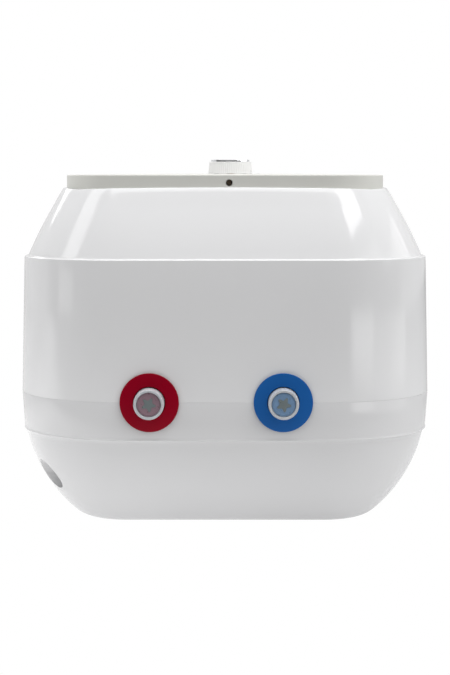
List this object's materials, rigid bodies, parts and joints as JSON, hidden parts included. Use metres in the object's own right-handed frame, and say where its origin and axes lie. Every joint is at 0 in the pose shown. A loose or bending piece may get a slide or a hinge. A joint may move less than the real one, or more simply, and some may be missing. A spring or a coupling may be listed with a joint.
{
  "type": "tank water heater",
  "caption": "Compact wall-hung storage water heater: white rounded-square casing, grey front panel with a thermostat knob, red and blue ringed pipes with push-on caps.",
  "frame": {"origin": "centre of the flat wall face at the back of the casing", "axes": "+Z out of the wall through the knob, -Y the side that the water pipes leave by (down in use), +X to the right when the knob is looked at with the pipes down"},
  "size_m": [0.322, 0.3355, 0.2819],
  "materials": {
    "white_abs": "gloss",
    "grey_panel": "satin",
    "knob_plastic": "satin",
    "zinc_steel": "satin",
    "dark_steel": "satin",
    "stainless": "satin",
    "chrome_trim": "polished",
    "amber_lens": "gloss",
    "ivory_plastic": "satin",
    "black_plastic": "satin",
    "red_plastic": "gloss",
    "blue_plastic": "gloss",
    "milky_plastic": "satin",
    "enamelled_steel": "gloss",
    "foam": "matte",
    "black_rubber": "matte",
    "copper": "satin",
    "magnesium": "matte",
    "brown_wire": "satin",
    "blue_wire": "satin",
    "green_wire": "satin"
  },
  "bodies": {
    "root": {"rear_shell": "white_abs", "front_shell": "white_abs", "front_panel": "grey_panel", "panel_screw": "dark_steel", "indicator_lens": "amber_lens", "indicator_lamp": "ivory_plastic", "thermostat_body": "black_plastic", "thermostat_screw_1": "zinc_steel", "thermostat_screw_2": "zinc_steel", "hot_pipe": "stainless", "hot_ring": "red_plastic", "cold_pipe": "stainless", "cold_ring": "blue_plastic", "cold_diffuser": "ivory_plastic", "tank_rear_half": "enamelled_steel", "tank_front_half": "enamelled_steel", "rear_insulation": "foam", "front_insulation": "foam", "flange_plate": "stainless", "flange_gasket": "black_rubber", "flange_nut_1": "zinc_steel", "flange_nut_2": "zinc_steel", "flange_nut_3": "zinc_steel", "flange_nut_4": "zinc_steel", "flange_nut_5": "zinc_steel", "flange_nut_6": "zinc_steel", "heating_element": "copper", "sensor_pocket": "copper", "sensor_bulb": "copper", "anode_rod": "magnesium", "anode_nut": "zinc_steel", "control_bracket": "zinc_steel", "terminal_block": "ivory_plastic", "terminal_block_screw_1": "zinc_steel", "terminal_block_screw_2": "zinc_steel", "thermal_cutout": "black_plastic", "wire_live": "brown_wire", "wire_neutral": "blue_wire", "wire_earth": "green_wire", "wire_switched": "brown_wire", "wire_element": "brown_wire", "wall_bracket": "zinc_steel", "cable_grommet": "black_rubber"},
    "knob": {"knob": "knob_plastic", "knob_cap": "chrome_trim", "thermostat_spindle": "zinc_steel"},
    "hot_cap": {"hot_cap": "milky_plastic"},
    "cold_cap": {"cold_cap": "milky_plastic"},
    "reset_button": {"reset_button": "red_plastic"}
  },
  "joints": [
    {"name": "knob_turn", "type": "hinge", "parent": "root", "child": "knob", "pos_m": [0.0044, 0, 0.27], "axis": [0, 0, 1], "range_deg": [-135, 135]},
    {"name": "hot_cap_pull", "type": "slide", "parent": "root", "child": "hot_cap", "axis": [0, -1, 0], "range_m": [0, 0.02]},
    {"name": "cold_cap_pull", "type": "slide", "parent": "root", "child": "cold_cap", "axis": [0, -1, 0], "range_m": [0, 0.02]},
    {"name": "reset_button_press", "type": "slide", "parent": "root", "child": "reset_button", "axis": [0, 0, -1], "range_m": [0, 0.0015], "stiffness_N_per_m": 400, "springref_m": -0.001}
  ]
}
